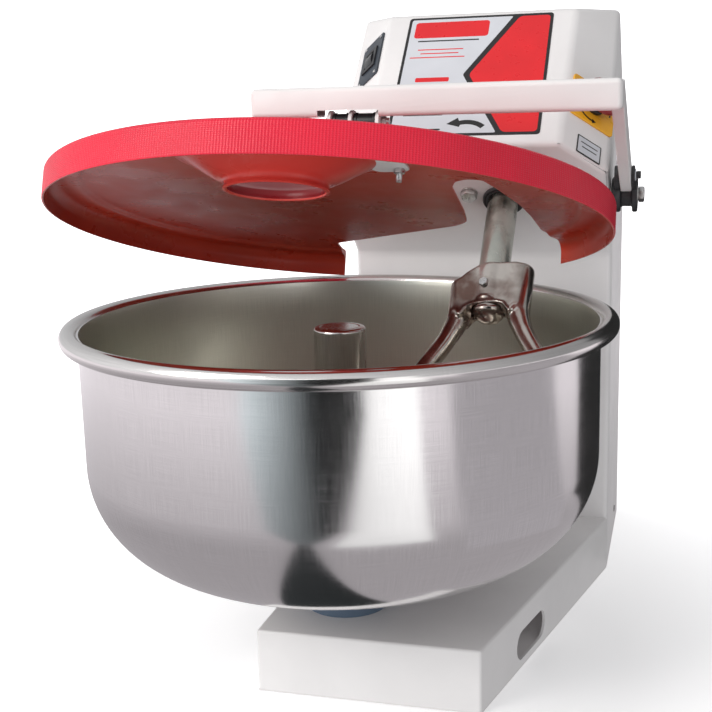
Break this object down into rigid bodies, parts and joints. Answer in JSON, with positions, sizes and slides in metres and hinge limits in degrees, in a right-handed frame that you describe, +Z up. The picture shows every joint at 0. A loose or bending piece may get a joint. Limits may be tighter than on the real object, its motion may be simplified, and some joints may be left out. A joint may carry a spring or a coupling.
{
  "type": "dough mixer",
  "caption": "Floor dough mixer: stainless bowl on a turning pedestal, inclined two-pronged fork, 45 degree head and hinged red lid.",
  "frame": {"origin": "on the bowl's vertical axis, at the floor", "axes": "+X to the machine's right seen from the front, +Y towards the column, +Z up"},
  "size_m": [0.5713, 0.848, 0.693],
  "materials": {
    "white_powder_coat": "satin powder coat",
    "zinc_steel": "zinc plated",
    "plain_steel": "machined",
    "dark_steel": "oiled",
    "blue_grey_paint": "enamel",
    "cast_pulley": "machined",
    "black_rubber": "matte",
    "black_plastic": "moulded",
    "brushed_stainless": "brushed",
    "polished_steel": "polished, worn",
    "red_lid": "textured paint",
    "red_brown_lid": "gloss",
    "label_silver": "printed film",
    "yellow_plate": "moulded",
    "red_button": "moulded",
    "dark_plate": "satin",
    "black_rocker": "moulded",
    "grey_box": "satin"
  },
  "bodies": {
    "frame": {"bottom_plate": "white_powder_coat", "base_tray": "white_powder_coat", "column_shell": "white_powder_coat", "rear_cover": "white_powder_coat", "frame_screws": "zinc_steel", "bowl_pedestal": "blue_grey_paint", "bowl_bearings": "plain_steel", "bowl_chain": "dark_steel", "low_gearbox": "blue_grey_paint", "low_gearbox_cover": "blue_grey_paint", "low_bearings": "plain_steel", "low_belt": "black_rubber", "motor_shelf": "plain_steel", "motor_housing": "blue_grey_paint", "motor_fan_cover": "black_plastic", "motor_terminal_box": "black_plastic", "motor_bearings": "plain_steel", "head_belt": "black_rubber", "head_gearbox": "blue_grey_paint", "head_gearbox_cover": "blue_grey_paint", "head_bearings": "plain_steel", "gearbox_bolts": "zinc_steel", "shaft_seal": "black_rubber", "front_label": "label_silver", "stop_plate": "yellow_plate", "stop_body": "black_plastic", "rating_label": "label_silver", "switch_plate": "dark_plate", "switch_body": "black_plastic", "control_box": "grey_box", "cable_gland": "black_plastic", "pivot_bolts": "zinc_steel"},
    "bowl": {"bowl": "brushed_stainless", "bowl_base": "brushed_stainless", "bowl_rim": "brushed_stainless", "centre_post": "brushed_stainless", "bowl_flange": "plain_steel", "bowl_bolts": "zinc_steel", "bowl_spindle": "plain_steel", "bowl_sprocket": "dark_steel"},
    "low_output": {"low_output_shaft": "plain_steel", "drive_sprocket": "dark_steel"},
    "low_worm": {"low_worm_shaft": "plain_steel", "low_pulley": "cast_pulley"},
    "motor_rotor": {"motor_rotor": "plain_steel", "motor_pulley": "cast_pulley"},
    "head_worm": {"head_worm_shaft": "plain_steel", "head_pulley": "cast_pulley"},
    "fork": {"fork_shaft": "polished_steel", "fork_yoke": "polished_steel", "fork_prongs": "polished_steel", "fork_nut": "polished_steel", "fork_set_screw": "zinc_steel"},
    "lid": {"lid_arm": "white_powder_coat", "pivot_spools": "black_plastic", "lid_bracket": "white_powder_coat", "lid_plate": "red_brown_lid", "lid_band": "red_lid"},
    "stop_button": {"stop_button": "red_button"},
    "switch_rocker": {"switch_rocker": "black_rocker"}
  },
  "joints": [
    {"name": "bowl_spin", "type": "hinge", "parent": "frame", "child": "bowl", "pos_m": [0, 0, 0.1], "axis": [0, 0, 1], "continuous": true},
    {"name": "low_output_spin", "type": "hinge", "parent": "frame", "child": "low_output", "pos_m": [0, 0.4, 0.1], "axis": [0, 0, 1], "continuous": true},
    {"name": "low_worm_spin", "type": "hinge", "parent": "frame", "child": "low_worm", "pos_m": [0.1, 0.4526, 0.095], "axis": [1, 0, 0], "continuous": true},
    {"name": "motor_spin", "type": "hinge", "parent": "frame", "child": "motor_rotor", "pos_m": [0.1, 0.44, 0.262], "axis": [1, 0, 0], "continuous": true},
    {"name": "head_worm_spin", "type": "hinge", "parent": "frame", "child": "head_worm", "pos_m": [0.15, 0.3391, 0.49781], "axis": [1, 0, 0], "continuous": true},
    {"name": "fork_spin", "type": "hinge", "parent": "frame", "child": "fork", "pos_m": [0.1325, 0.2418, 0.4749], "axis": [0, 0.7071, 0.7071], "continuous": true},
    {"name": "lid_hinge", "type": "hinge", "parent": "frame", "child": "lid", "pos_m": [0.09285, 0.256, 0.479], "axis": [1, 0, 0], "range_deg": [-50, 17.94]},
    {"name": "stop_push", "type": "slide", "parent": "frame", "child": "stop_button", "axis": [-0.6979, 0.5155, -0.4972], "range_m": [0, 0.004], "stiffness_N_per_m": 3000, "springref_m": -0.001},
    {"name": "switch_rock", "type": "hinge", "parent": "frame", "child": "switch_rocker", "pos_m": [-0.03667, 0.29883, 0.63802], "axis": [0.7159, -0.4842, 0.503], "range_deg": [-8, 8]}
  ],
  "couplings": [
    {"joint": "low_output_spin", "follows": "bowl_spin", "ratio": 2.3636},
    {"joint": "low_worm_spin", "follows": "bowl_spin", "ratio": 70.909},
    {"joint": "motor_spin", "follows": "bowl_spin", "ratio": 121.56},
    {"joint": "head_worm_spin", "follows": "bowl_spin", "ratio": 78.788},
    {"joint": "fork_spin", "follows": "bowl_spin", "ratio": 2.6263}
  ]
}
